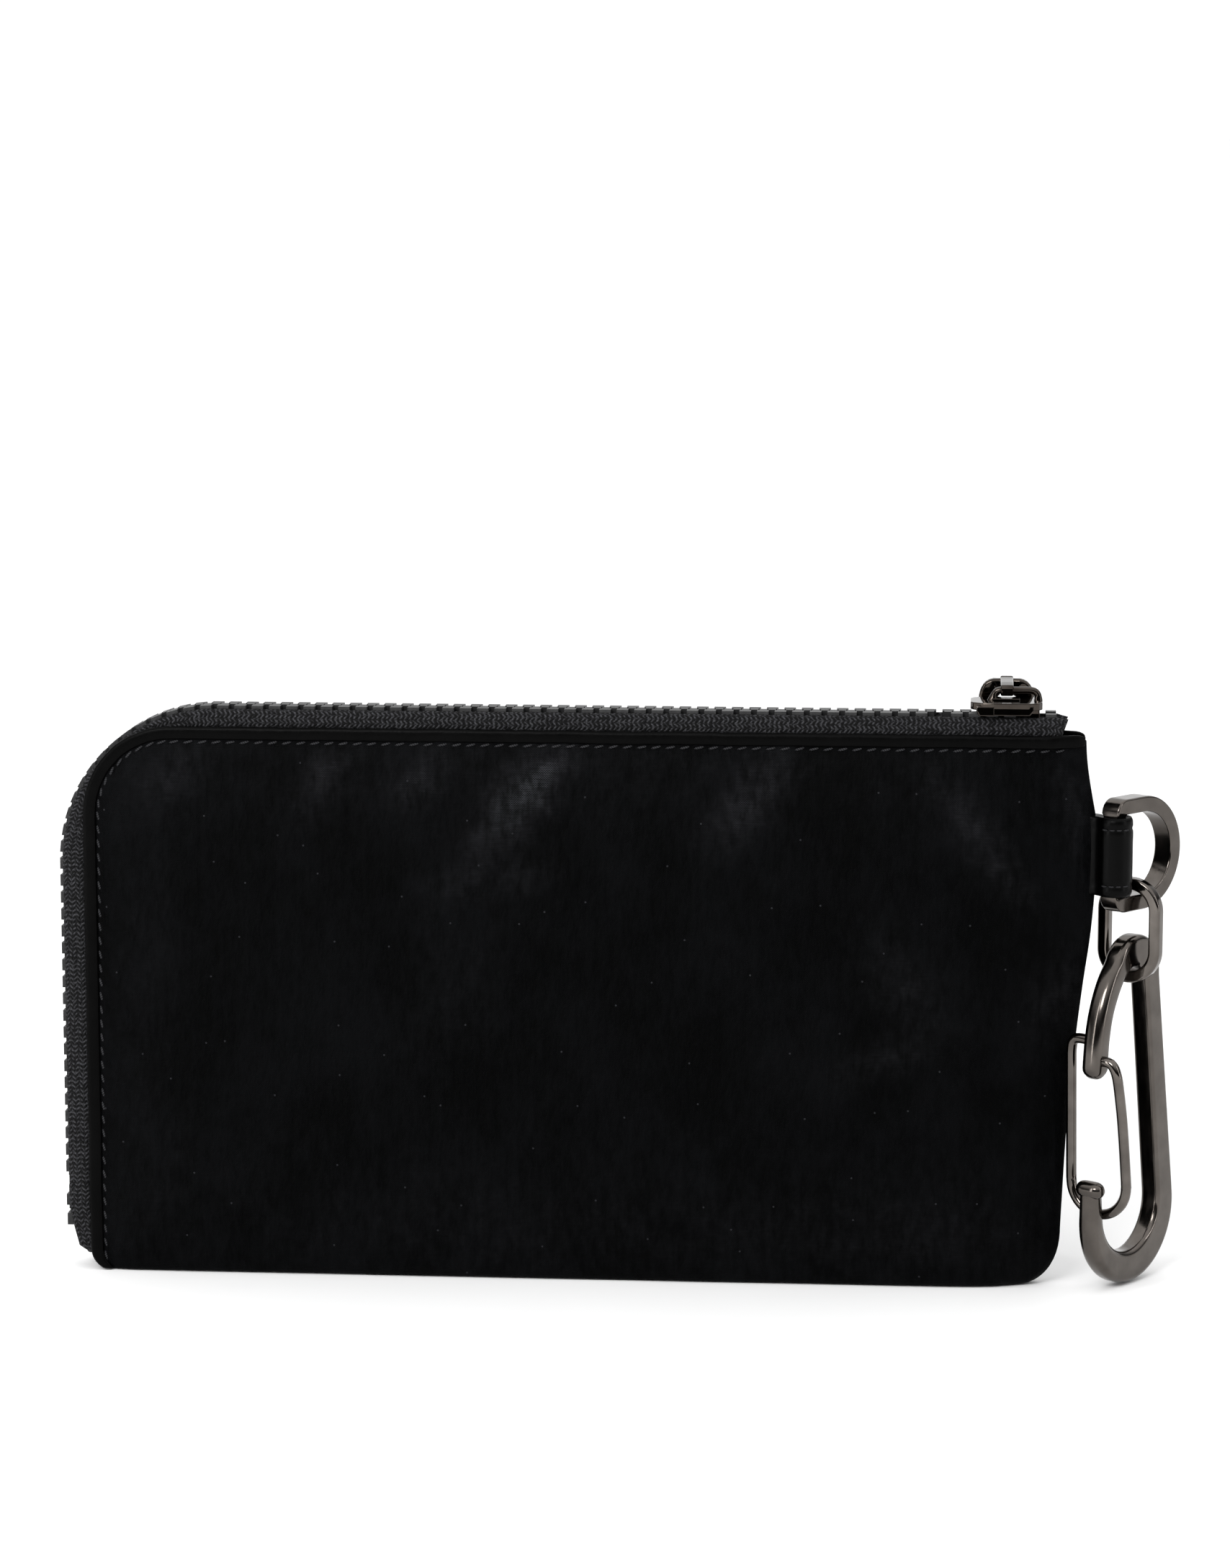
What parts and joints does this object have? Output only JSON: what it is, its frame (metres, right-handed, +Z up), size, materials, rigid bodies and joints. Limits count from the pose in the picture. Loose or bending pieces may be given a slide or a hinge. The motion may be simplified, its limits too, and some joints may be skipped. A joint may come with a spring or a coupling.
{
  "type": "zippered pouch",
  "caption": "Flat black fabric pouch with a zip round two sides and a wire-gate clip hung from a leather tab on its right seam.",
  "frame": {"origin": "middle of the base, on the table, halfway between the two panels", "axes": "+X along the width towards the clip, +Y towards the back, +Z up"},
  "size_m": [0.2176, 0.0262, 0.1184],
  "materials": {
    "nylon_shell": "fine weave, slight sheen",
    "stiffener_foam": "felted foam",
    "lining_fabric": "plain weave",
    "leather_trim": "smooth, satin",
    "zip_tape": "coarse knit",
    "zip_teeth": "satin black",
    "thread": "twisted polyester",
    "gunmetal": "polished dark nickel"
  },
  "bodies": {
    "pouch": {"back_panel": "nylon_shell", "front_panel_lower": "nylon_shell", "base_fold": "nylon_shell", "side_seam": "nylon_shell", "back_stiffener": "stiffener_foam", "front_stiffener_lower": "stiffener_foam", "back_lining": "lining_fabric", "front_lining_lower": "lining_fabric", "back_edge_trim": "leather_trim", "front_edge_trim_end": "leather_trim", "back_tape": "zip_tape", "front_tape_end": "zip_tape", "back_teeth": "zip_teeth", "front_teeth_end": "zip_teeth", "top_stops": "zip_teeth", "bottom_stop": "zip_teeth", "leather_tab": "leather_trim"},
    "front_flap": {"front_panel_flap": "nylon_shell", "front_stiffener_flap": "stiffener_foam", "front_lining_flap": "lining_fabric", "front_edge_trim_flap": "leather_trim", "front_tape_flap": "zip_tape", "front_teeth_flap": "zip_teeth"},
    "slider": {"slider_body": "gunmetal", "slider_bridge": "gunmetal"},
    "pull_eye": {"pull_eye": "gunmetal"},
    "pull_ring": {"pull_ring": "gunmetal"},
    "d_ring": {"d_ring": "gunmetal"},
    "chain_link": {"chain_link": "gunmetal"},
    "clip": {"carabiner_body": "gunmetal"},
    "gate": {"gate_wire": "gunmetal"}
  },
  "joints": [
    {"name": "zip_slide", "type": "slide", "parent": "pouch", "child": "slider", "axis": [1, 0, 0], "range_m": [-0.145, 0], "deforming": ["back_teeth", "front_teeth_end"]},
    {"name": "flap_open", "type": "hinge", "parent": "pouch", "child": "front_flap", "pos_m": [-0.1005, -0.0084, 0.0175], "axis": [0.8736, 0, 0.4867], "range_deg": [0, 25], "deforming": ["front_teeth_flap"]},
    {"name": "eye_fold", "type": "hinge", "parent": "slider", "child": "pull_eye", "pos_m": [0.083, 0, 0.1167], "axis": [1, 0, 0], "range_deg": [0, 166]},
    {"name": "ring_swing", "type": "hinge", "parent": "pull_eye", "child": "pull_ring", "pos_m": [0.083, 0.0091, 0.117], "axis": [1, 0, 0], "range_deg": [0, 194]},
    {"name": "d_ring_swing", "type": "hinge", "parent": "pouch", "child": "d_ring", "pos_m": [0.1038, -0.0022, 0.0852], "axis": [0, 0, 1], "range_deg": [0, 24]},
    {"name": "link_swing", "type": "hinge", "parent": "d_ring", "child": "chain_link", "pos_m": [0.10731, 0.00191, 0.0757], "axis": [-0.6494, -0.7604, 0], "range_deg": [0, 20]},
    {"name": "clip_swing", "type": "hinge", "parent": "chain_link", "child": "clip", "pos_m": [0.10731, 0.00191, 0.06095], "axis": [-0.8141, 0.5807, 0], "range_deg": [0, 25]},
    {"name": "gate_open", "type": "hinge", "parent": "clip", "child": "gate", "pos_m": [0.10075, -0.00729, 0.0475], "axis": [0.8141, -0.5807, 0], "range_deg": [0, 22], "stiffness_Nm_per_rad": 0.02, "springref_deg": -17.19}
  ]
}
